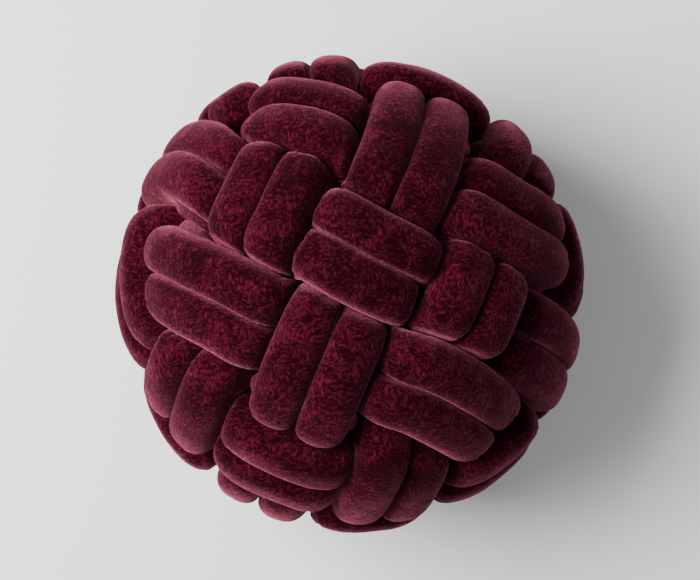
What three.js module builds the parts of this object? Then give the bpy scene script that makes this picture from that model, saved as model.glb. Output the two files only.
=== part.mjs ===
// A round pouf plaited from stuffed velvet tubes. The tubes run in pairs: three pairs go round each of
// three axes at right angles, and each pair passes over one crossing pair and under the next.
import * as THREE from 'three';

// Driving dimensions, in millimetres and degrees.
const ballWidth = 396; // crown to crown of the tubes that pass over, along X
const ballDepth = 404; // along Y
const ballTall = 376; // along Z as it settles, before its underside is pressed flat
const footPress = 12; // how far its underside is pressed up
const tubeHalfWide = 20.8; // a stuffed tube where nothing touches it
const tubeHalfHigh = 21.5;
const squareness = 2.8; // of its section: 2 is an ellipse, more fills out the corners
const twinPitch = 38; // from one tube of a pair to its twin
const weaveLift = 13; // rise over, and dip under, the middle of the weave
const weaveShoulder = 2.2; // more runs flatter across a crossing and dives more steeply after it
const weaveEarly = 0.1; // more dives sooner after a crossing, and stays under for longer
const diveShoulder = 3.2; // the shoulder once the tubes are stuffed firm
const underDraw = 0.5; // how far a pair is drawn toward the crossings that it passes under
const underReach = 45; // half of the run that a pair stays under another
const elbowRoom = 29; // middles of two tubes are eased this far apart where the plait crowds them
const easeSideways = 0.25; // of that easing, kept along the ball; all of it goes into the ball
const overRoom = 25; // room that a tube holds against its neighbours where it is over
const underRoom = 19; // and where it is under
const contactGap = 0.4; // from a tube to the middle of the clear space between it and one that it presses on
const contactFirmness = 14; // how squarely a tube flattens where it is pressed
const crossingAngle = 30; // from one crossing to the next on a face of the plait
const topAngle = 31; // the same on the top face, which is spread a little
const cornerShare = 0.82; // of its angles, kept by a crossing beside a lower corner, where three pairs crowd
const beltAngles = { top: 18, middle: - 12, bottom: - 38 }; // of the belts above the plait's equator
const spinAngle = - 24.8; // turn of the plait about the upright
const leanAngle = 11; // lean of its top face
const leanHeading = 64; // toward this heading, from +X to +Y
const ringPlaces = [ 0, 0.25, 0.42, 0.58, 0.75 ]; // rings of facets, as shares of the way to the next crossing
const sidesPerRing = 8;

const velvet = { color: 0x4a0f22, roughness: 0.95, metalness: 0 };

// The plait has six faces of three by three crossings. A face is square to one axis of the plait.
const faces = {
	top: { axis: 2, sign: 1 }, bottom: { axis: 2, sign: - 1 },
	right: { axis: 0, sign: 1 }, left: { axis: 0, sign: - 1 },
	far: { axis: 1, sign: 1 }, near: { axis: 1, sign: - 1 },
};

// Crossings whose upper pair has slipped by hand or in use, in degrees. On a face, u runs along the next
// axis in the order x, y, z, x and v along the one after it.
const slips = [
	{ face: 'top', u: 0, v: 0, alongU: 0, alongV: - 1.7 },
	{ face: 'top', u: - 1, v: 0, alongU: 1.2, alongV: 2 },
	{ face: 'top', u: 1, v: 0, alongU: - 0.8, alongV: 1 },
	{ face: 'top', u: 0, v: 1, alongU: - 0.6, alongV: - 4 },
	{ face: 'top', u: - 1, v: 1, alongU: - 3, alongV: 3.7 },
	{ face: 'top', u: 1, v: 1, alongU: 2, alongV: 0.3 },
	{ face: 'top', u: 1, v: - 1, alongU: 0, alongV: 5.1 },
	{ face: 'top', u: - 1, v: - 1, alongU: - 2, alongV: 2.3 },
	{ face: 'far', u: 1, v: 0, alongU: 1.5, alongV: - 7 },
	{ face: 'far', u: 1, v: 1, alongU: - 3, alongV: - 1.3 },
	{ face: 'far', u: - 1, v: 1, alongU: 0, alongV: 2 },
	{ face: 'far', u: 1, v: - 1, alongU: 0, alongV: - 7 },
	{ face: 'far', u: - 1, v: - 1, alongU: 0, alongV: - 4 },
	{ face: 'right', u: 0, v: 1, alongU: 3.9, alongV: 2 },
	{ face: 'right', u: 0, v: - 1, alongU: 7, alongV: 0 },
	{ face: 'right', u: - 1, v: 1, alongU: 14, alongV: - 11.7 },
	{ face: 'right', u: 1, v: 1, alongU: 6, alongV: - 10.4 },
	{ face: 'right', u: 1, v: 0, alongU: 2, alongV: 0 },
	{ face: 'right', u: - 1, v: 0, alongU: 3, alongV: 0 },
	{ face: 'near', u: 1, v: 1, alongU: 4, alongV: 4 },
	{ face: 'near', u: - 1, v: 1, alongU: 0, alongV: 14 },
	{ face: 'near', u: 1, v: 0, alongU: 7, alongV: 3 },
	{ face: 'near', u: 1, v: - 1, alongU: 3, alongV: - 1.3 },
	{ face: 'near', u: - 1, v: - 1, alongU: 0, alongV: - 11 },
	{ face: 'left', u: - 1, v: 1, alongU: 16, alongV: - 12 },
	{ face: 'left', u: 0, v: 1, alongU: 11, alongV: 5 },
	{ face: 'left', u: 0, v: - 1, alongU: 9, alongV: 0 },
	{ face: 'left', u: 1, v: 1, alongU: - 4, alongV: - 4.5 },
	{ face: 'left', u: 1, v: 0, alongU: 2, alongV: 0 },
	{ face: 'left', u: - 1, v: 0, alongU: 5, alongV: 1 },
];

// Nine pairs: the axis that each goes round, and its place along that axis.
const pairs = [
	{ name: 'belt_top', axis: 2, place: 1 },
	{ name: 'belt_middle', axis: 2, place: 0 },
	{ name: 'belt_bottom', axis: 2, place: - 1 },
	{ name: 'cross_far', axis: 1, place: 1 },
	{ name: 'cross_middle', axis: 1, place: 0 },
	{ name: 'cross_near', axis: 1, place: - 1 },
	{ name: 'length_right', axis: 0, place: 1 },
	{ name: 'length_middle', axis: 0, place: 0 },
	{ name: 'length_left', axis: 0, place: - 1 },
];

const crossingsPerTube = 12;
const beadsPerCrossing = 10; // along a tube's middle, while it is eased into place
const samplesPerCrossing = 20; // along a tube's middle, where its neighbours look for it
const easeSteps = 60;
const easeShare = 0.3; // of what two tubes lack in room, that each gives way in one step
const ballRadius = ballDepth / 2;
const ballShape = new THREE.Vector3( ballWidth, ballDepth, ballTall ).divideScalar( ballDepth );
const ballMiddle = new THREE.Vector3( 0, 0, ballTall / 2 - footPress );
const weaveRadius = ballRadius - tubeHalfHigh - weaveLift;
const touchReach = 75; // tubes further off than this are not felt
const marksPerCrossing = 100; // along a pair's course, where its meetings with others are looked for
const leastShare = 0.38; // of the run between two meetings, that a pair has to dive in
const leastHold = 0.12; // of the way to a neighbour, that a tube always holds
const firstShare = 0.35; // of its reach, that a tube is filled to at first
const letOutSteps = 24;
const facetTests = quarterShares(); // points of a facet, as shares of its corners

const stand = standingTurn();
for ( const pair of pairs ) drawCourse( pair );
findMeetings( pairs );
const tubes = pairs.flatMap( ( pair ) => [ 1, 2 ].map( ( twin ) => {

	return { name: `${ pair.name }_${ twin }`, pair, side: twin === 1 ? - 1 : 1 };

} ) );
easeApart( tubes );
for ( const tube of tubes ) {

	const count = crossingsPerTube * samplesPerCrossing;
	tube.samples = Array.from( { length: count }, ( _, i ) => tubePlace( tube, i / samplesPerCrossing ) );

}

for ( const tube of tubes ) tube.rings = swollenRings( tube );
for ( const tube of tubes ) letOut( tube );

const pouf = new THREE.Group();
pouf.name = 'plaited_pouf';
for ( const tube of tubes ) {

	const mesh = new THREE.Mesh( tubeGeometry( tube ), new THREE.MeshStandardMaterial( velvet ) );
	mesh.name = tube.name;
	pouf.add( mesh );

}

centreOnFootprint( pouf );

export default pouf;

function standingTurn() {

	const heading = THREE.MathUtils.degToRad( leanHeading );
	const leanAxis = new THREE.Vector3( - Math.sin( heading ), Math.cos( heading ), 0 );
	const lean = new THREE.Quaternion().setFromAxisAngle( leanAxis, THREE.MathUtils.degToRad( leanAngle ) );
	const upright = new THREE.Vector3( 0, 0, 1 );
	const spin = new THREE.Quaternion().setFromAxisAngle( upright, THREE.MathUtils.degToRad( spinAngle ) );
	return lean.multiply( spin );

}

// Direction of one crossing from the middle of the ball.
function crossingDirection( axis, sign, u, v ) {

	const slip = slips.find( ( s ) => {

		return faces[ s.face ].axis === axis && faces[ s.face ].sign === sign && s.u === u && s.v === v;

	} ) ?? { alongU: 0, alongV: 0 };
	const across = ( axis + 1 ) % 3;
	const along = ( axis + 2 ) % 3;
	const low = [ v, u, sign ][ axis ] === - 1;
	const share = low && u * v !== 0 ? cornerShare : 1;
	const direction = new THREE.Vector3().setComponent( axis, sign );
	direction.setComponent( across, tanDeg( share * placeAngle( axis, sign, across, u ) + slip.alongU ) );
	direction.setComponent( along, tanDeg( share * placeAngle( axis, sign, along, v ) + slip.alongV ) );
	return direction.normalize().applyQuaternion( stand );

}

// Angle of a row of crossings from the middle of its face. The side faces take theirs from the belts.
function placeAngle( axis, sign, along, place ) {

	if ( axis !== 2 && along === 2 ) return [ beltAngles.bottom, beltAngles.middle, beltAngles.top ][ place + 1 ];
	return place * ( axis === 2 && sign === 1 ? topAngle : crossingAngle );

}

// A pair crosses four faces in turn, with three crossings on each: over the first, under the next, and so on.
function crossingRow( { axis, place } ) {

	const next = ( axis + 1 ) % 3;
	const after = ( axis + 2 ) % 3;
	const steps = [ - 1, 0, 1 ];
	const row = [
		...steps.map( ( step ) => [ next, 1, step, place ] ),
		...steps.map( ( step ) => [ after, 1, place, 0 - step ] ),
		...steps.map( ( step ) => [ next, - 1, 0 - step, place ] ),
		...steps.map( ( step ) => [ after, - 1, place, step ] ),
	];
	return place ? row : [ ...row.slice( 1 ), row[ 0 ] ];

}

// The course of a pair runs through the crossings that it passes over, and is drawn toward those that it
// passes under.
function drawCourse( pair ) {

	const marks = crossingRow( pair ).map( ( spot ) => crossingDirection( ...spot ) );
	const over = new THREE.CatmullRomCurve3( marks.filter( ( _, i ) => i % 2 === 0 ), true );
	for ( let i = 1; i < crossingsPerTube; i += 2 ) {

		marks[ i ] = over.getPoint( i / crossingsPerTube ).normalize().lerp( marks[ i ], underDraw ).normalize();

	}

	pair.course = new THREE.CatmullRomCurve3( marks, true );

}

// Places along each pair, counted in crossings: where it meets each pair that it crosses, and half way down
// between them, close beside the pair that it dives under.
function findMeetings( pairs ) {

	const lap = crossingsPerTube * marksPerCrossing;
	const visits = {};
	for ( const pair of pairs ) {

		pair.line = Array.from( { length: lap }, ( _, i ) => pair.course.getPoint( i / lap ).normalize() );
		pair.meet = [];
		crossingRow( pair ).forEach( ( spot, turn ) => ( visits[ spot ] ??= [] ).push( { pair, turn } ) );

	}

	const nearby = ( { pair, turn } ) => {

		const offsets = Array.from( { length: 1.6 * marksPerCrossing }, ( _, i ) => i - 0.8 * marksPerCrossing );
		return offsets.map( ( offset ) => {

			const mark = turn * marksPerCrossing + offset;
			return { at: mark / marksPerCrossing, way: pair.line[ THREE.MathUtils.euclideanModulo( mark, lap ) ] };

		} );

	};

	for ( const [ a, b ] of Object.values( visits ) ) {

		const rowB = nearby( b );
		let best = - 1;
		for ( const p of nearby( a ) ) for ( const q of rowB ) {

			const facing = p.way.dot( q.way );
			if ( facing <= best ) continue;
			best = facing;
			a.pair.meet[ a.turn ] = p.at;
			b.pair.meet[ b.turn ] = q.at;

		}

	}

	for ( const pair of pairs ) pair.places = divePlaces( pair );

}

function divePlaces( { line, meet } ) {

	const lap = line.length;
	const run = [ 0 ];
	for ( let i = 0; i < 3 * lap; i ++ ) run.push( run[ i ] + line[ i % lap ].distanceTo( line[ ( i + 1 ) % lap ] ) * weaveRadius );
	const runAt = ( crossings ) => {

		const x = ( crossings + crossingsPerTube ) * marksPerCrossing;
		const i = Math.floor( x );
		return THREE.MathUtils.lerp( run[ i ], run[ i + 1 ], x - i );

	};

	return meet.flatMap( ( here, k ) => {

		const next = k + 1 < crossingsPerTube ? meet[ k + 1 ] : meet[ 0 ] + crossingsPerTube;
		const gap = runAt( next ) - runAt( here );
		const dive = Math.min( underReach, ( 1 - leastShare ) * gap );
		const at = runAt( here ) + ( k % 2 ? dive : gap - dive );
		const i = run.findIndex( ( r ) => r > at ) - 1;
		const mark = i + ( at - run[ i ] ) / ( run[ i + 1 ] - run[ i ] );
		return [ here, mark / marksPerCrossing - crossingsPerTube ];

	} );

}

// Middle of a tube as planned, after a number of crossings: over at one, under at the next.
function plannedCentre( { pair, side }, crossings ) {

	const turn = Math.floor( 2 * crossings );
	const share = 2 * crossings - turn;
	const halves = 2 * crossingsPerTube;
	const [ before, from, to, after ] = [ - 1, 0, 1, 2 ].map( ( k ) => {

		const lap = Math.floor( ( turn + k ) / halves );
		return pair.places[ turn + k - lap * halves ] + lap * crossingsPerTube;

	} );
	const [ leave, arrive, rise ] = [ ( to - before ) / 2, ( after - from ) / 2, to - from ];
	const bend = 3 * rise - 2 * leave - arrive + share * ( leave + arrive - 2 * rise );
	const pace = from + share * ( leave + share * bend );
	const along = THREE.MathUtils.euclideanModulo( pace / crossingsPerTube, 1 );
	const direction = pair.course.getPoint( along ).normalize();
	const aside = pair.course.getTangent( along ).cross( direction ).normalize();
	direction.addScaledVector( aside, side * twinPitch / 2 / weaveRadius );
	direction.setLength( weaveRadius + weaveLift * easyWave( crossings ) );
	return direction.multiply( ballShape ).add( ballMiddle );

}

// 1 at a crossing where the tube is over, -1 where it is under.
function weaveWave( crossings, shoulder, early ) {

	const level = ( swing ) => Math.tanh( shoulder * ( swing - early ) );
	return THREE.MathUtils.mapLinear( level( Math.cos( Math.PI * crossings ) ), level( - 1 ), level( 1 ), - 1, 1 );

}

function easyWave( crossings ) {

	return weaveWave( crossings, weaveShoulder, weaveEarly );

}

// A stuffed tube lies flat on the pair below it, then dives steeply at that pair's edge.
function firmWave( crossings ) {

	return weaveWave( crossings, diveShoulder, 0 );

}

// Tubes that lie closer than their elbow room give way along and into the ball, never out of it.
function easeApart( tubes ) {

	const count = crossingsPerTube * beadsPerCrossing;
	for ( const tube of tubes ) {

		tube.planned = Array.from( { length: count }, ( _, i ) => plannedCentre( tube, i / beadsPerCrossing ) );
		tube.outward = tube.planned.map( ( bead ) => bead.clone().sub( ballMiddle ).normalize() );
		tube.shift = tube.planned.map( () => new THREE.Vector3() );

	}

	for ( let step = 0; step < easeSteps; step ++ ) {

		for ( const tube of tubes ) tube.beads = tube.planned.map( ( bead, i ) => bead.clone().add( tube.shift[ i ] ) );
		for ( const tube of tubes ) {

			tube.beads.forEach( ( bead, i ) => tube.shift[ i ].add( pushFromOthers( tube, bead, tube.outward[ i ] ) ) );
			tube.shift = smoothed( smoothed( tube.shift ) );
			tube.shift.forEach( ( shift, i ) => {

				const rise = shift.dot( tube.outward[ i ] );
				if ( rise > 0 ) shift.addScaledVector( tube.outward[ i ], - rise );

			} );

		}

	}

	for ( const tube of tubes ) {

		const beads = tube.planned.map( ( bead, i ) => bead.add( tube.shift[ i ] ) );
		tube.middle = new THREE.CatmullRomCurve3( beads, true, 'catmullrom' );

	}

}

function pushFromOthers( tube, bead, outward ) {

	const push = new THREE.Vector3();
	const away = new THREE.Vector3();
	for ( const other of tubes ) {

		if ( other === tube ) continue;
		let nearest = other.beads[ 0 ];
		let least = Infinity;
		for ( const candidate of other.beads ) {

			const square = candidate.distanceToSquared( bead );
			if ( square < least ) [ least, nearest ] = [ square, candidate ];

		}

		const lack = elbowRoom - Math.sqrt( least );
		if ( lack > 0 ) push.addScaledVector( away.subVectors( bead, nearest ).normalize(), lack * easeShare );

	}

	const inward = outward.clone().multiplyScalar( push.dot( outward ) );
	return push.sub( inward ).multiplyScalar( easeSideways ).add( inward );

}

function smoothed( shifts ) {

	const count = shifts.length;
	return shifts.map( ( shift, i ) => {

		const both = shifts[ ( i + 1 ) % count ].clone().add( shifts[ ( i + count - 1 ) % count ] );
		return both.multiplyScalar( 0.25 ).addScaledVector( shift, 0.5 );

	} );

}

// Middle of a tube as it lies.
function tubeCentre( tube, crossings ) {

	const centre = tube.middle.getPoint( THREE.MathUtils.euclideanModulo( crossings / crossingsPerTube, 1 ) );
	const outward = centre.clone().sub( ballMiddle ).normalize();
	return centre.addScaledVector( outward, weaveLift * ( firmWave( crossings ) - easyWave( crossings ) ) );

}

// A place along a tube: its middle and the room that it holds there, squared.
function tubePlace( tube, crossings ) {

	const room = THREE.MathUtils.mapLinear( firmWave( crossings ), - 1, 1, underRoom, overRoom );
	return { centre: tubeCentre( tube, crossings ), hold: room ** 2 };

}

// Rings of rays that stand outward from the ball, each ray as long as the stuffed skin reaches there.
function swollenRings( tube ) {

	const stations = Array.from( { length: crossingsPerTube }, ( _, i ) => ringPlaces.map( ( p ) => i + p ) ).flat();
	return stations.map( ( crossings ) => {

		const place = tubePlace( tube, crossings );
		const ahead = tubeCentre( tube, crossings + 0.08 ).sub( tubeCentre( tube, crossings - 0.08 ) );
		const crown = place.centre.clone().sub( ballMiddle ).normalize();
		const aside = ahead.cross( crown ).normalize();
		const near = ( sample ) => sample.centre.distanceTo( place.centre ) < touchReach;
		const own = tube.samples.filter( near );
		const others = tubes.filter( ( t ) => t !== tube ).map( ( t ) => t.samples.filter( near ) ).filter( ( t ) => t.length );
		const turns = Array.from( { length: sidesPerRing }, ( _, i ) => 2 * Math.PI * i / sidesPerRing );
		const rays = turns.map( ( turn ) => {

			return aside.clone().multiplyScalar( Math.cos( turn ) ).addScaledVector( crown, Math.sin( turn ) );

		} );
		const limit = turns.map( ( turn, i ) => swell( place, rays[ i ], freeReach( turn ), others ) );
		const reach = limit.map( ( most ) => most * firstShare );
		return { centre: place.centre, own, others, rays, limit, reach };

	} );

}

// A stuffed tube where nothing touches it: a rounded square section.
function freeReach( turn ) {

	const across = Math.abs( Math.cos( turn ) / tubeHalfWide ) ** squareness;
	const upward = Math.abs( Math.sin( turn ) / tubeHalfHigh ) ** squareness;
	return ( across + upward ) ** ( - 1 / squareness );

}

// How far a tube swells along a ray: to its free shape, to its share of the way to each neighbour, or to the
// ground.
function swell( place, ray, free, others ) {

	let crowding = free ** - contactFirmness;
	const toward = new THREE.Vector3();
	for ( const samples of others ) {

		let reach = Infinity;
		for ( const sample of samples ) {

			toward.subVectors( sample.centre, place.centre );
			const facing = toward.dot( ray );
			if ( facing <= 0 ) continue;
			const square = toward.lengthSq();
			const share = ( square + place.hold - sample.hold ) / 2 - contactGap * Math.sqrt( square );
			reach = Math.min( reach, Math.max( share, leastHold * square ) / facing );

		}

		crowding += reach ** - contactFirmness;

	}

	const ground = ray.z < 0 ? place.centre.z / - ray.z : Infinity;
	return Math.min( crowding ** ( - 1 / contactFirmness ), ground );

}

// Flat facets cut across hollows, so each corner is let out step by step for as long as the facets that
// meet there keep clear of the neighbours.
function letOut( tube ) {

	const skin = facets( tube );
	const meeting = tube.rings.map( () => Array.from( { length: sidesPerRing }, () => [] ) );
	for ( const facet of skin ) for ( const [ ring, side ] of facet ) meeting[ ring ][ side ].push( facet );
	for ( let step = 0; step < letOutSteps; step ++ ) {

		tube.rings.forEach( ( { reach, limit }, ring ) => limit.forEach( ( most, side ) => {

			const before = reach[ side ];
			reach[ side ] = Math.min( before + tubeHalfHigh / letOutSteps, most );
			if ( ! meeting[ ring ][ side ].every( ( facet ) => isClear( tube, facet ) ) ) reach[ side ] = before;

		} ) );

	}

}

function isClear( tube, facet ) {

	const corners = facet.map( ( [ ring, side ] ) => skinPoint( tube.rings[ ring ], side ) );
	const { own, others } = tube.rings[ facet[ 0 ][ 0 ] ];
	const point = new THREE.Vector3();
	return facetTests.every( ( shares ) => {

		point.set( 0, 0, 0 );
		shares.forEach( ( share, i ) => point.addScaledVector( corners[ i ], share ) );
		let home = Infinity;
		for ( const { centre, hold } of own ) home = Math.min( home, centre.distanceToSquared( point ) - hold );
		home += 2 * contactGap * elbowRoom;
		return others.every( ( samples ) => samples.every( ( { centre, hold } ) => centre.distanceToSquared( point ) - hold > home ) );

	} );

}

// Triangles of the skin, each as three places: ring and side.
function facets( tube ) {

	return tube.rings.flatMap( ( _, ring ) => Array.from( { length: sidesPerRing }, ( _, side ) => {

		const nextRing = ( ring + 1 ) % tube.rings.length;
		const nextSide = ( side + 1 ) % sidesPerRing;
		return [
			[ [ ring, side ], [ nextRing, side ], [ nextRing, nextSide ] ],
			[ [ ring, side ], [ nextRing, nextSide ], [ ring, nextSide ] ],
		];

	} ).flat() );

}

function skinPoint( ring, side ) {

	return ring.centre.clone().addScaledVector( ring.rays[ side ], ring.reach[ side ] );

}

function tubeGeometry( tube ) {

	const positions = tube.rings.flatMap( ( ring ) => ring.rays.flatMap( ( _, side ) => skinPoint( ring, side ).toArray() ) );
	const indices = facets( tube ).flat().map( ( [ ring, side ] ) => ring * sidesPerRing + side );
	const geometry = new THREE.BufferGeometry();
	geometry.setAttribute( 'position', new THREE.Float32BufferAttribute( positions, 3 ) );
	geometry.setIndex( indices );
	geometry.computeVertexNormals();
	return geometry;

}

function centreOnFootprint( group ) {

	const box = new THREE.Box3().setFromObject( group );
	const centre = box.getCenter( new THREE.Vector3() );
	for ( const mesh of group.children ) mesh.geometry.translate( - centre.x, - centre.y, - box.min.z );

}

function quarterShares() {

	const shares = [];
	for ( let i = 0; i < 4; i ++ ) for ( let j = 0; j < 4; j ++ ) {

		const k = 4 - i - j;
		if ( k >= 0 && k < 4 ) shares.push( [ i / 4, j / 4, k / 4 ] );

	}

	return shares;

}

function tanDeg( degrees ) {

	return Math.tan( THREE.MathUtils.degToRad( degrees ) );

}
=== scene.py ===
import math

import bpy
import numpy as np
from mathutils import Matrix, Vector


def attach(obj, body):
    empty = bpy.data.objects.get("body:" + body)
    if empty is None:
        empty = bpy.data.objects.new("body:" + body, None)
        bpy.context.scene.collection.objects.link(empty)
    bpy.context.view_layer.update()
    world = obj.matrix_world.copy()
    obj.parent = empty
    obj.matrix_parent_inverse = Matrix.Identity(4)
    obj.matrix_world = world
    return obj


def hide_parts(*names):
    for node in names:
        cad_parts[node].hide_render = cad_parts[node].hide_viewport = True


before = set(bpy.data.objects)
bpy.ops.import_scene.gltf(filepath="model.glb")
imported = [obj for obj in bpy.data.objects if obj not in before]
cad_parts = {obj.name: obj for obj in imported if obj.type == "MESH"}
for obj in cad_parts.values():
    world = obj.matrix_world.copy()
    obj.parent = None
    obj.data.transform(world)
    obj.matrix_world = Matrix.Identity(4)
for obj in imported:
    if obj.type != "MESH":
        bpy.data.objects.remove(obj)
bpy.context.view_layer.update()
print("frame loaded,", len(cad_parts), "tubes in the plait")

# the plait, in metres and degrees: laid out as the solids are, with softer dives and shorter runs under
plait = {
    "ballSize": (0.396, 0.404, 0.376),   # before its underside is pressed
    "footPress": 0.012,           # how far the underside is pressed up
    "footprintShift": (-0.00045, 0.00004),   # brings the box over the origin
    "tubeRadius": 0.0215,
    "twinPitch": 0.038,           # one tube of a pair to its twin
    "weaveLift": 0.013,           # rise over a crossing, and drop under one
    "weaveShoulder": 2.2,         # more runs flatter over a crossing and dives more steeply
    "weaveEarly": 0.1,
    "diveShoulder": 2.6,          # the same for the stuffed skin
    "underDraw": 0.5,             # how far a pair is drawn toward the crossings that it passes under
    "underReach": 0.042,          # half of the run that a pair stays under another
    "underShare": 0.62,           # and at most this share of the run to the next crossing
    "meetingSpan": 0.8,           # two pairs meet within this many crossings of their turn
    "courseSteps": 100,           # for each crossing, where a course is measured
    "elbowRoom": 0.029,           # middles of two tubes are eased this far apart
    "easeSteps": 60,
    "easeShare": 0.3,
    "easeSideways": 0.25,
    "beads": 10,                  # along a tube, for each crossing
    "crossingAngle": 30,          # from one row of crossings to the next
    "topAngle": 31,               # the same on the top
    "cornerShare": 0.82,          # low corner crossings are drawn in to this share
    "beltAngles": {1: 18, 0: -12, -1: -38},
    "spinAngle": -24.8,           # how the plait is turned as it stands
    "leanAngle": 11,
    "leanHeading": 64,
}

# crossings whose upper pair has slipped: face, u, v, then degrees along u and along v
slips = [
    ("top", 0, 0, 0, -1.7),
    ("top", -1, 0, 1.2, 2),
    ("top", 1, 0, -0.8, 1),
    ("top", 0, 1, -0.6, -4),
    ("top", -1, 1, -3, 3.7),
    ("top", 1, 1, 2, 0.3),
    ("top", 1, -1, 0, 5.1),
    ("top", -1, -1, -2, 2.3),
    ("far", 1, 0, 1.5, -7),
    ("far", 1, 1, -3, -1.3),
    ("far", -1, 1, 0, 2),
    ("far", 1, -1, 0, -7),
    ("far", -1, -1, 0, -4),
    ("right", 0, 1, 3.9, 2),
    ("right", 0, -1, 7, 0),
    ("right", -1, 1, 14, -11.7),
    ("right", 1, 1, 6, -10.4),
    ("right", 1, 0, 2, 0),
    ("right", -1, 0, 3, 0),
    ("near", 1, 1, 4, 4),
    ("near", -1, 1, 0, 14),
    ("near", 1, 0, 7, 3),
    ("near", 1, -1, 3, -1.3),
    ("near", -1, -1, 0, -11),
    ("left", -1, 1, 16, -12),
    ("left", 0, 1, 11, 5),
    ("left", 0, -1, 9, 0),
    ("left", 1, 1, -4, -4.5),
    ("left", 1, 0, 2, 0),
    ("left", -1, 0, 5, 1),
]

# axis that a face looks along, and which way
faceNames = {
    (2, 1): "top",
    (2, -1): "bottom",
    (0, 1): "right",
    (0, -1): "left",
    (1, 1): "far",
    (1, -1): "near",
}
slipOf = {row[:3]: row[3:] for row in slips}

# nine pairs: the axis that each goes round, and its place along that axis
pairs = [
    ("belt_top", 2, 1),
    ("belt_middle", 2, 0),
    ("belt_bottom", 2, -1),
    ("cross_far", 1, 1),
    ("cross_middle", 1, 0),
    ("cross_near", 1, -1),
    ("length_right", 0, 1),
    ("length_middle", 0, 0),
    ("length_left", 0, -1),
]
crossingsPerTube = 12
halfTurn = crossingsPerTube // 2

ballRadius = plait["ballSize"][1] / 2
ballShape = np.array(plait["ballSize"]) / plait["ballSize"][1]
ballMiddle = np.array([*plait["footprintShift"], plait["ballSize"][2] / 2 - plait["footPress"]])
weaveRadius = ballRadius - plait["tubeRadius"] - plait["weaveLift"]


def unit(v):
    return v / np.linalg.norm(v, axis=-1, keepdims=True)


def turnAbout(axis, degrees):
    x, y, z = axis
    cross = np.array([[0, -z, y], [z, 0, -x], [-y, x, 0]])
    angle = math.radians(degrees)
    return np.eye(3) + math.sin(angle) * cross + (1 - math.cos(angle)) * cross @ cross


def standingTurn():
    heading = math.radians(plait["leanHeading"])
    lean = turnAbout((-math.sin(heading), math.cos(heading), 0), plait["leanAngle"])
    return lean @ turnAbout((0, 0, 1), plait["spinAngle"])


stand = standingTurn()


# angle of a row of crossings from the middle of its face; the side faces take theirs from the belts
def placeAngle(axis, sign, along, place):
    if axis != 2 and along == 2:
        return plait["beltAngles"][place]
    return place * (plait["topAngle"] if (axis, sign) == (2, 1) else plait["crossingAngle"])


# direction of one crossing from the middle of the ball
def crossingDirection(axis, sign, u, v):
    slipU, slipV = slipOf.get((faceNames[(axis, sign)], u, v), (0, 0))
    acrossAxis = (axis + 1) % 3
    alongAxis = (axis + 2) % 3
    low = (v, u, sign)[axis] == -1
    share = plait["cornerShare"] if low and u * v else 1
    way = np.zeros(3)
    way[axis] = sign
    way[acrossAxis] = math.tan(math.radians(share * placeAngle(axis, sign, acrossAxis, u) + slipU))
    way[alongAxis] = math.tan(math.radians(share * placeAngle(axis, sign, alongAxis, v) + slipV))
    return stand @ unit(way)


# the twelve crossings of a pair in turn: over the first, under the next, and so on
def crossingRow(axis, place):
    b = (axis + 1) % 3
    c = (axis + 2) % 3
    row = [(b, 1, step, place) for step in (-1, 0, 1)]
    row += [(c, 1, place, step) for step in (1, 0, -1)]
    row += [(b, -1, step, place) for step in (1, 0, -1)]
    row += [(c, -1, place, step) for step in (-1, 0, 1)]
    return row if place else row[1:] + row[:1]


# pairs that cross at a spot, each with its turn there
def crossingVisits():
    visits = {}
    for number, (name, axis, place) in enumerate(pairs):
        for turn, spot in enumerate(crossingRow(axis, place)):
            visits.setdefault(spot, []).append((number, turn))
    return visits.values()


# 1 where the first pair lies over the second, -1 where it lies under, 0 where they never cross
overUnder = np.zeros((len(pairs), len(pairs)))
for (a, turnA), (b, _) in crossingVisits():
    overUnder[a, b] = -1 if turnA % 2 else 1
    overUnder[b, a] = -overUnder[a, b]


# smooth closed course through points, evenly paced between them
def courseThrough(points, t):
    i = np.floor(t).astype(int)
    w = (t - i)[:, None]
    p0, p1, p2, p3 = (points[(i + k) % len(points)] for k in (-1, 0, 1, 2))
    spans = ((p0, p1), (p1, p2), (p2, p3))
    d0, d1, d2 = (np.linalg.norm(b - a, axis=1)[:, None] ** 0.5 for a, b in spans)
    t1 = ((p1 - p0) / d0 - (p2 - p0) / (d0 + d1) + (p2 - p1) / d1) * d1
    t2 = ((p2 - p1) / d1 - (p3 - p1) / (d1 + d2) + (p3 - p2) / d2) * d1
    cubic = 2 * p1 - 2 * p2 + t1 + t2
    square = -3 * p1 + 3 * p2 - 2 * t1 - t2
    return cubic * w ** 3 + square * w ** 2 + t1 * w + p1


# the course of a pair: through the crossings that it passes over,
# and drawn toward those that it passes under
def courseMarks(axis, place):
    marks = np.array([crossingDirection(*spot) for spot in crossingRow(axis, place)])
    smooth = unit(courseThrough(marks[::2], np.arange(halfTurn) + 0.5))
    marks[1::2] = unit(smooth + (marks[1::2] - smooth) * plait["underDraw"])
    return marks


# 1 at a crossing where the tube is over, -1 where it is under
def weaveWave(crossings, shoulder, early):
    def level(swing):
        return np.tanh(shoulder * (swing - early))
    low, high = level(-1), level(1)
    return 2 * (level(np.cos(np.pi * crossings)) - low) / (high - low) - 1


def easyWave(crossings):
    return weaveWave(crossings, plait["weaveShoulder"], plait["weaveEarly"])


# a stuffed tube lies flat on the pair below it, then dives steeply at that pair's edge
def firmWave(crossings):
    return weaveWave(crossings, plait["diveShoulder"], 0)


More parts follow.
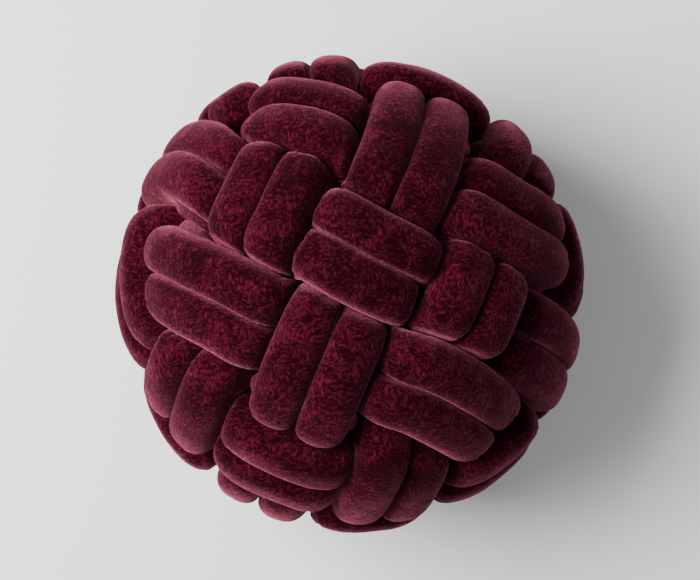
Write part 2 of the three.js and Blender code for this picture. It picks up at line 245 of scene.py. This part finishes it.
# places along each pair, counted in crossings: where it meets each pair that it crosses,
# and half way down between them, close beside the pair that it dives under
def meetingPlaces(courses):
    fine = np.arange(0, crossingsPerTube, 1 / plait["courseSteps"])
    lines = [unit(courseThrough(course, fine)) for course in courses]
    meet = np.zeros((len(pairs), crossingsPerTube))
    for (a, turnA), (b, turnB) in crossingVisits():
        offA = (fine - turnA + halfTurn) % crossingsPerTube - halfTurn
        offB = (fine - turnB + halfTurn) % crossingsPerTube - halfTurn
        nearA = np.flatnonzero(np.abs(offA) < plait["meetingSpan"])
        nearB = np.flatnonzero(np.abs(offB) < plait["meetingSpan"])
        best = (lines[a][nearA] @ lines[b][nearB].T).argmax()
        meet[a, turnA] = turnA + offA[nearA[best // len(nearB)]]
        meet[b, turnB] = turnB + offB[nearB[best % len(nearB)]]
    places = np.zeros((len(pairs), 2 * crossingsPerTube))
    for n, line in enumerate(lines):
        steps = np.linalg.norm(np.roll(line, -1, 0) - line, axis=1) * weaveRadius
        run = np.r_[0, np.cumsum(np.tile(steps, 3))]
        laps = np.arange(len(run)) / plait["courseSteps"] - crossingsPerTube
        marks = np.interp(np.r_[meet[n], meet[n, 0] + crossingsPerTube], laps, run)
        for k in range(crossingsPerTube):
            places[n, 2 * k] = meet[n, k]
            gap = marks[k + 1] - marks[k]
            under = min(plait["underReach"], plait["underShare"] * gap)
            places[n, 2 * k + 1] = np.interp(marks[k] + (under if k % 2 else gap - under), run, laps)
    return places


# where a tube would lie if nothing pressed on it: smoothly paced from one place to the next
def plannedMiddle(course, places, side, crossings):
    turn = np.floor(2 * crossings).astype(int)
    share = 2 * crossings - turn
    lap = len(places)
    marks = [places[(turn + k) % lap] + crossingsPerTube * ((turn + k) // lap) for k in (-1, 0, 1, 2)]
    slopes = [0.5 * (marks[k + 2] - marks[k]) for k in (0, 1)]
    rise = marks[2] - marks[1]
    square = 3 * rise - 2 * slopes[0] - slopes[1]
    cubic = slopes[0] + slopes[1] - 2 * rise
    pace = marks[1] + share * (slopes[0] + share * (square + share * cubic))
    way = unit(courseThrough(course, pace))
    ahead = courseThrough(course, pace + 1e-3) - courseThrough(course, pace - 1e-3)
    aside = unit(np.cross(ahead, way))
    way = unit(way + aside * side * plait["twinPitch"] / 2 / weaveRadius)
    way = way * (weaveRadius + plait["weaveLift"] * easyWave(crossings))[:, None]
    return way * ballShape + ballMiddle


def plannedTubes():
    beadPlaces = np.arange(0, crossingsPerTube, 1 / plait["beads"])
    courses = [courseMarks(axis, place) for name, axis, place in pairs]
    planned = []
    for course, places in zip(courses, meetingPlaces(courses)):
        for side in (-1, 1):
            planned.append(plannedMiddle(course, places, side, beadPlaces))
    return np.array(planned)


# tubes that lie closer than their elbow room give way along and into the ball, never out of it
def easeApart(planned):
    shift = np.zeros_like(planned)
    outward = unit(planned - ballMiddle)
    for step in range(plait["easeSteps"]):
        beads = planned + shift
        push = np.zeros_like(beads)
        for a in range(len(beads)):
            for b in range(len(beads)):
                if a == b:
                    continue
                lengths = (beads[a] ** 2).sum(1)[:, None] + (beads[b] ** 2).sum(1)
                nearest = (lengths - 2 * beads[a] @ beads[b].T).argmin(1)
                away = beads[a] - beads[b][nearest]
                distance = np.linalg.norm(away, axis=1)[:, None]
                push[a] += np.maximum(plait["elbowRoom"] - distance, 0) * away / distance
        inward = (push * outward).sum(2, keepdims=True) * outward
        shift += (inward + (push - inward) * plait["easeSideways"]) * plait["easeShare"]
        for turn in range(2):
            shift = (np.roll(shift, 1, 1) + np.roll(shift, -1, 1) + 2 * shift) / 4
        rise = (shift * outward).sum(2, keepdims=True)
        shift -= np.maximum(rise, 0) * outward
    return planned + shift


# middle of a tube as it lies, after a number of crossings
def tubeMiddle(beads, crossings):
    x = crossings * plait["beads"]
    i = np.floor(x).astype(int)
    w = (x - i)[:, None]
    p0, p1, p2, p3 = (beads[(i + k) % len(beads)] for k in (-1, 0, 1, 2))
    square = 2 * p0 - 5 * p1 + 4 * p2 - p3
    cubic = 3 * (p1 - p2) + p3 - p0
    middle = p1 + 0.5 * w * (p2 - p0 + w * (square + w * cubic))
    rise = plait["weaveLift"] * (firmWave(crossings) - easyWave(crossings))
    return middle + unit(middle - ballMiddle) * rise[:, None]


# seeded soft noise from about -1 to 1, with lumps of the given size in metres
def softNoise(points, size, seed):
    rng = np.random.default_rng(seed)
    table = rng.permutation(256)
    slopes = unit(rng.normal(size=(256, 3)))
    place = points / size + 100
    cell = np.floor(place).astype(int)
    inside = place - cell
    fade = inside ** 3 * (inside * (inside * 6 - 15) + 10)
    total = np.zeros(len(points))
    for dx in (0, 1):
        for dy in (0, 1):
            for dz in (0, 1):
                corner = cell + (dx, dy, dz)
                mark = table[corner[:, 0] & 255]
                mark = table[(mark + corner[:, 1]) & 255]
                mark = table[(mark + corner[:, 2]) & 255]
                rise = (slopes[mark] * (inside - (dx, dy, dz))).sum(1)
                share = np.where((dx, dy, dz), fade, 1 - fade).prod(1)
                total += rise * share
    return total * 1.6


# the stuffed skin of a tube
skin = {
    "rings": 46,                  # for each crossing, closer together where the tube is over
    "sides": 48,                  # round the tube, closer together on its crown
    "overCrowding": 0.35,
    "crownCrowding": 0.45,
    "halfWide": 0.0217,           # of a tube where nothing touches it
    "halfHigh": 0.0215,
    "halfLow": 0.0175,            # below its middle it is pressed flatter
    "squareness": 2.5,
    "fullness": 0.5,              # how far the crown stays up where the tube begins to dive
    "fullShoulder": 2.5,
    "fullLate": -0.5,
    "cornerBulge": 1.1,           # how much further it may fill the open corners, as a share of its size
    "bulgeSlope": 0.25,           # the bulge is whole below this sine of the way down
    "contactGap": 0.008,          # clear space between tubes that touch, as a share of their size
    "fillSteps": 22,
    "neighbourReach": 0.07,
    "frameSteps": 24,             # for each crossing, where a neighbour is measured
    "aheadStep": 0.08,
    "easeTurns": 3,               # the skin is eased flatter, less so on its hidden side
    "crownEase": 0.7,
    "hiddenEase": 0.2,
}


def tubeRings():
    even = np.arange(crossingsPerTube * skin["rings"]) / skin["rings"]
    return even - skin["overCrowding"] / np.pi * np.sin(np.pi * even)


def ringAngles():
    even = 2 * np.pi * np.arange(skin["sides"]) / skin["sides"] - np.pi / 2
    return even - skin["crownCrowding"] * np.sin(even - np.pi / 2)


# the shape of a tube where nothing touches it: 1 on its skin, less inside
def freeGauge(across, upward, crownHigh):
    power = skin["squareness"]
    wide = np.abs(across) / skin["halfWide"]
    tall = np.abs(upward) / np.where(upward > 0, crownHigh, skin["halfLow"])
    return (wide ** power + tall ** power) ** (1 / power)


# a tube stays full up to the edge of the pair that it dives under
def crownHeights(crossings):
    full = weaveWave(crossings, skin["fullShoulder"], skin["fullLate"])
    spare = np.maximum(full - firmWave(crossings), 0)
    return skin["halfHigh"] + plait["weaveLift"] * skin["fullness"] * spare


# middles of a tube, its ways aside and outward there, and how high its crown stands
def framesAt(beads, crossings):
    step = skin["aheadStep"]
    centres = tubeMiddle(beads, crossings)
    ahead = tubeMiddle(beads, crossings + step) - tubeMiddle(beads, crossings - step)
    crowns = unit(centres - ballMiddle)
    asides = unit(np.cross(ahead, crowns))
    return centres, asides, crowns, crownHeights(crossings)


# below its middle a tube bulges sideways into the open corners of the weave
def cornerBulge(angles):
    down = np.clip(-np.sin(angles) / skin["bulgeSlope"], 0, 1)
    return 1 + skin["cornerBulge"] * down * down * (3 - 2 * down) * np.cos(angles) ** 2


# a tube is filled out along rays until it meets the ground or a tube that lies over it;
# tubes that never cross share the room between them, and all share the open corners
def fillOut(centre, rays, freeReach, bulge, near):
    shares = (np.arange(skin["fillSteps"]) + 1) / skin["fillSteps"]
    own = (bulge[:, None] * shares).ravel()
    longest = rays[:, None] * (freeReach * bulge)[:, None, None]
    points = (centre + longest * shares[:, None]).reshape(-1, 3)
    loss = np.full(len(points), -1.0)
    for lies, centres, asides, crowns, heights in near:
        nearest = ((centres ** 2).sum(1) - 2 * points @ centres.T).argmin(1)
        away = points - centres[nearest]
        across = (away * asides[nearest]).sum(1)
        upward = (away * crowns[nearest]).sum(1)
        gauge = freeGauge(across, upward, heights[nearest])
        shared = own + skin["contactGap"] - gauge
        loss = np.maximum(loss, np.minimum(own - 1, shared))
        meets = 1 + skin["contactGap"] - gauge
        if lies < 1:
            loss = np.maximum(loss, meets if lies else np.minimum(meets, shared))
    loss = np.c_[np.full(len(rays), -1.0), loss.reshape(len(rays), -1)]
    lost = loss > 0
    first = np.where(lost.any(1), lost.argmax(1), len(shares))
    rows = np.arange(len(rays))
    before, after = loss[rows, first - 1], loss[rows, first]
    part = np.where(after > 0, before / np.minimum(before - after, -1e-9), 1.0)
    reach = freeReach * bulge * (first - 1 + part) / len(shares)
    down = np.minimum(rays[:, 2], -1e-6)
    ground = np.where(rays[:, 2] < 0, centre[2] / -down, 1e3)
    return np.minimum(reach, ground)


def swollenSkin(number, frames, beads):
    crossings = tubeRings()
    angles = ringAngles()
    bulge = cornerBulge(angles)
    centres, asides, crowns, heights = framesAt(beads, crossings)
    rays = asides[:, None] * np.cos(angles)[:, None] + crowns[:, None] * np.sin(angles)[:, None]
    freeReach = 1 / freeGauge(np.cos(angles), np.sin(angles), heights[:, None])
    reach = np.empty(freeReach.shape)
    for i, centre in enumerate(centres):
        near = []
        for other, rows in enumerate(frames):
            close = np.abs(rows[0] - centre).max(1) < skin["neighbourReach"]
            if other != number and close.any():
                near.append([overUnder[number // 2, other // 2]] + [row[close] for row in rows])
        reach[i] = fillOut(centre, rays[i], freeReach[i], bulge, near)
    ease = np.where(np.sin(angles) > 0, skin["crownEase"], skin["hiddenEase"])
    for turn in range(skin["easeTurns"]):
        soft = sum(np.roll(reach, step, side) for step in (1, -1) for side in (0, 1)) / 4
        reach = np.minimum(reach, reach + (soft - reach) * ease)
    return centres[:, None] + rays * reach[:, :, None], crossings, angles


def skinNormals(points):
    along = np.roll(points, -1, 0) - np.roll(points, 1, 0)
    around = np.roll(points, -1, 1) - np.roll(points, 1, 1)
    normals = np.cross(along, around)
    return normals / np.maximum(np.linalg.norm(normals, axis=2, keepdims=True), 1e-12)


# marks of filling and weaving, in metres and in crossings
handling = {
    "lumps": 0.0006,
    "lumpSize": 0.026,
    "crownPower": 0.7,            # lumps fade from the crown to the sides
    "folds": 0.0008,
    "foldLength": 0.0062,
    "foldPlace": 0.44,            # from the middle of a crossing that the tube passes over
    "foldSpread": 0.1,
    "foldSway": 1.1,
    "swaySize": 0.018,
    "patchSize": 0.022,           # folds come in patches
    "patchShare": (1.6, 0.1),     # how sharply a patch begins, and how early
    "foldSide": 0.4,              # how far folds run down the sides
    "swaySeed": 50,
    "patchSeed": 90,
}


# soft lumps of the stuffing, and small folds where a tube bends under the next pair
def handleSkin(points, crossings, angles, seed):
    flat = points.reshape(-1, 3)

    def noise(size, number):
        return softNoise(flat, size, number).reshape(points.shape[:2])

    lumps = (noise(handling["lumpSize"], seed) - 1) * handling["lumps"]
    crown = np.clip(np.sin(angles), 0, 1) ** handling["crownPower"]
    fromOver = np.abs((crossings + 1) % 2 - 1)
    bend = np.exp(-((fromOver - handling["foldPlace"]) / handling["foldSpread"]) ** 2)[:, None]
    run = np.cumsum(np.linalg.norm(np.roll(points, -1, 0) - points, axis=2).mean(1))[:, None]
    sway = handling["foldSway"] * noise(handling["swaySize"], seed + handling["swaySeed"])
    slope, start = handling["patchShare"]
    patch = np.clip(noise(handling["patchSize"], seed + handling["patchSeed"]) * slope + start, 0, 1)
    facing = np.clip(np.sin(angles) + handling["foldSide"], 0, 1)
    folds = np.sin(2 * np.pi * (run / handling["foldLength"] + sway))
    folds *= bend * patch * facing * handling["folds"]
    return points + skinNormals(points) * (lumps * crown + folds)[:, :, None]


def tubeMesh(name, points, material):
    rings, sides = points.shape[:2]
    marks = np.arange(rings * sides).reshape(rings, sides)
    nextRing = np.roll(marks, -1, 0)
    corners = [marks, nextRing, np.roll(nextRing, -1, 1), np.roll(marks, -1, 1)]
    quads = np.stack(corners, -1).reshape(-1, 4)
    mesh = bpy.data.meshes.new(name)
    mesh.from_pydata(points.reshape(-1, 3).tolist(), [], quads.tolist())
    mesh.update()
    mesh.shade_smooth()
    mesh.materials.append(material)
    tube = bpy.data.objects.new(name, mesh)
    bpy.context.scene.collection.objects.link(tube)
    return tube


# burgundy velvet, its nap brushed this way and that
velvet = {
    "deep": (0.0085, 0.0003, 0.0015, 1),
    "nap": (0.092, 0.0058, 0.0198, 1),
    "roughness": 0.85,
    "gleam": 0.015,               # hardly any shine
    "sheen": 0.66,
    "sheenRoughness": 0.38,
    "sheenDeep": (0.48, 0.09, 0.16, 1),
    "sheenTint": (1.0, 0.33, 0.47, 1),
    "strokeFine": 520,            # strokes of the nap, across and along
    "strokeLong": 240,
    "strokeDetail": 4,
    "strokeCoarse": 0.72,
    "patchScale": 75,             # patches brushed one way
    "patchEdges": (0.44, 0.56),
    "handScale": 17,              # broad marks of hands
    "broadDetail": 2,
    "handShare": 0.5,
    "broadShare": 0.3,            # of patches and hand marks in the tone
    "toneRange": (0.475, 0.665),  # where the tone goes from deep to nap
    "sway": (0.004, 0.004, 0.004),
    "napDepth": 0.0008,
    "napStrength": 0.9,
}


def velvetMaterial():
    material = bpy.data.materials.new("burgundyVelvet")
    material.use_nodes = True
    nodes = material.node_tree.nodes
    links = material.node_tree.links
    shader = nodes["Principled BSDF"]
    place = nodes.new("ShaderNodeTexCoord").outputs["Object"]

    def noise(vector, scale, detail, coarse=0.5):
        node = nodes.new("ShaderNodeTexNoise")
        node.inputs["Scale"].default_value = scale
        node.inputs["Detail"].default_value = detail
        node.inputs["Roughness"].default_value = coarse
        links.new(vector, node.inputs["Vector"])
        return node

    def moved(kind, vector, amount, other=None):
        node = nodes.new("ShaderNodeVectorMath")
        node.operation = kind
        links.new(vector, node.inputs[0])
        node.inputs[1].default_value = amount
        if other:
            links.new(other, node.inputs[2])
        return node.outputs["Vector"]

    def mixed(share, first, second):
        node = nodes.new("ShaderNodeMix")
        if isinstance(share, float):
            node.inputs["Factor"].default_value = share
        else:
            links.new(share, node.inputs["Factor"])
        links.new(first, node.inputs["A"])
        links.new(second, node.inputs["B"])
        return node.outputs["Result"]

    def spread(value, low, high):
        node = nodes.new("ShaderNodeMapRange")
        node.inputs["From Min"].default_value = low
        node.inputs["From Max"].default_value = high
        links.new(value, node.inputs["Value"])
        return node.outputs["Result"]

    patch = noise(place, velvet["patchScale"], velvet["broadDetail"])
    hand = noise(place, velvet["handScale"], velvet["broadDetail"])
    swayed = moved("MULTIPLY_ADD", patch.outputs["Color"], velvet["sway"], place)

    def strokesOf(stretch):
        stretched = moved("MULTIPLY", swayed, stretch)
        return noise(stretched, 1, velvet["strokeDetail"], velvet["strokeCoarse"]).outputs["Fac"]

    fine = velvet["strokeFine"]
    long = velvet["strokeLong"]
    brushed = spread(patch.outputs["Fac"], *velvet["patchEdges"])
    strokes = mixed(brushed, strokesOf((long, fine, fine)), strokesOf((fine, long, fine)))
    broad = mixed(velvet["handShare"], patch.outputs["Fac"], hand.outputs["Fac"])
    both = mixed(velvet["broadShare"], strokes, broad)
    lifted = spread(both, *velvet["toneRange"])

    def toned(first, second):
        node = nodes.new("ShaderNodeMix")
        node.data_type = "RGBA"
        node.inputs["A"].default_value = first
        node.inputs["B"].default_value = second
        links.new(lifted, node.inputs["Factor"])
        return node.outputs["Result"]

    links.new(toned(velvet["deep"], velvet["nap"]), shader.inputs["Base Color"])
    links.new(toned(velvet["sheenDeep"], velvet["sheenTint"]), shader.inputs["Sheen Tint"])
    bump = nodes.new("ShaderNodeBump")
    bump.inputs["Strength"].default_value = velvet["napStrength"]
    bump.inputs["Distance"].default_value = velvet["napDepth"]
    links.new(strokes, bump.inputs["Height"])
    links.new(bump.outputs["Normal"], shader.inputs["Normal"])
    shader.inputs["Roughness"].default_value = velvet["roughness"]
    shader.inputs["Specular IOR Level"].default_value = velvet["gleam"]
    shader.inputs["Sheen Weight"].default_value = velvet["sheen"]
    shader.inputs["Sheen Roughness"].default_value = velvet["sheenRoughness"]
    return material


def plaitTubes():
    names = [f"{name}_{twin}" for name, axis, place in pairs for twin in (1, 2)]
    planned = plannedTubes()
    beads = easeApart(planned)
    furthest = 1000 * np.linalg.norm(beads - planned, axis=2).max()
    print("tubes eased apart, furthest shift", round(furthest, 1), "mm")
    samplePlaces = np.arange(0, crossingsPerTube, 1 / skin["frameSteps"])
    frames = [framesAt(row, samplePlaces) for row in beads]
    material = velvetMaterial()
    for number, name in enumerate(names):
        points, crossings, angles = swollenSkin(number, frames, beads[number])
        points = handleSkin(points, crossings, angles, number)
        points[:, :, 2] = np.maximum(points[:, :, 2], 0)
        tube = tubeMesh("velvet_" + name, points, material)
        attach(tube, "root")
        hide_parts(name)
    print("tubes stuffed:", len(names))


plaitTubes()

# a plain pale floor, a soft light from the upper left and a pale sky
studio = {
    "floorSize": 12,
    "floorTone": (0.89, 0.89, 0.875, 1),
    "floorRoughness": 0.9,
    "floorGleam": 0.1,
    "skyTone": (0.95, 0.97, 1.0, 1),
    "skyStrength": 0.41,
    "keyPlace": (-0.98, 0.21, 1.43),
    "keyAim": (0, 0, 0.15),
    "keySize": 1.0,
    "keyWatts": 76,
}


def layFloor():
    bpy.ops.mesh.primitive_plane_add(size=studio["floorSize"])
    floor = bpy.context.object
    floor.name = "floor"
    material = bpy.data.materials.new("paleFloor")
    material.use_nodes = True
    shader = material.node_tree.nodes["Principled BSDF"]
    shader.inputs["Base Color"].default_value = studio["floorTone"]
    shader.inputs["Roughness"].default_value = studio["floorRoughness"]
    shader.inputs["Specular IOR Level"].default_value = studio["floorGleam"]
    floor.data.materials.append(material)


def aimAt(thing, target):
    thing.rotation_euler = (Vector(target) - thing.location).to_track_quat("-Z", "Y").to_euler()


def hangLights():
    lamp = bpy.data.lights.new("keyLight", "AREA")
    lamp.size = studio["keySize"]
    lamp.energy = studio["keyWatts"]
    key = bpy.data.objects.new("keyLight", lamp)
    key.location = studio["keyPlace"]
    bpy.context.scene.collection.objects.link(key)
    aimAt(key, studio["keyAim"])
    world = bpy.data.worlds.new("studioWorld")
    world.use_nodes = True
    sky = world.node_tree.nodes["Background"]
    sky.inputs["Color"].default_value = studio["skyTone"]
    sky.inputs["Strength"].default_value = studio["skyStrength"]
    bpy.context.scene.world = world


layFloor()
hangLights()
print("floor and lights in place")

# straight above the pouf, as in the photograph, 700 by 580
view = {
    "height": 1.6,                # above the middle of the ball
    "focalPixels": 1889,
    "sensorWidth": 36,
    "imageWidth": 700,
    "ballCentre": (350.0, 293.5),
    "imageCentre": (350.0, 290.0),
}


def setCamera():
    camera = bpy.data.cameras.new("camera")
    camera.sensor_width = view["sensorWidth"]
    camera.lens = view["sensorWidth"] * view["focalPixels"] / view["imageWidth"]
    camera.shift_x = (view["imageCentre"][0] - view["ballCentre"][0]) / view["imageWidth"]
    camera.shift_y = (view["ballCentre"][1] - view["imageCentre"][1]) / view["imageWidth"]
    eye = bpy.data.objects.new("camera", camera)
    eye.location = ballMiddle + (0, 0, view["height"])
    bpy.context.scene.collection.objects.link(eye)
    bpy.context.scene.camera = eye


setCamera()
print("camera above the pouf")
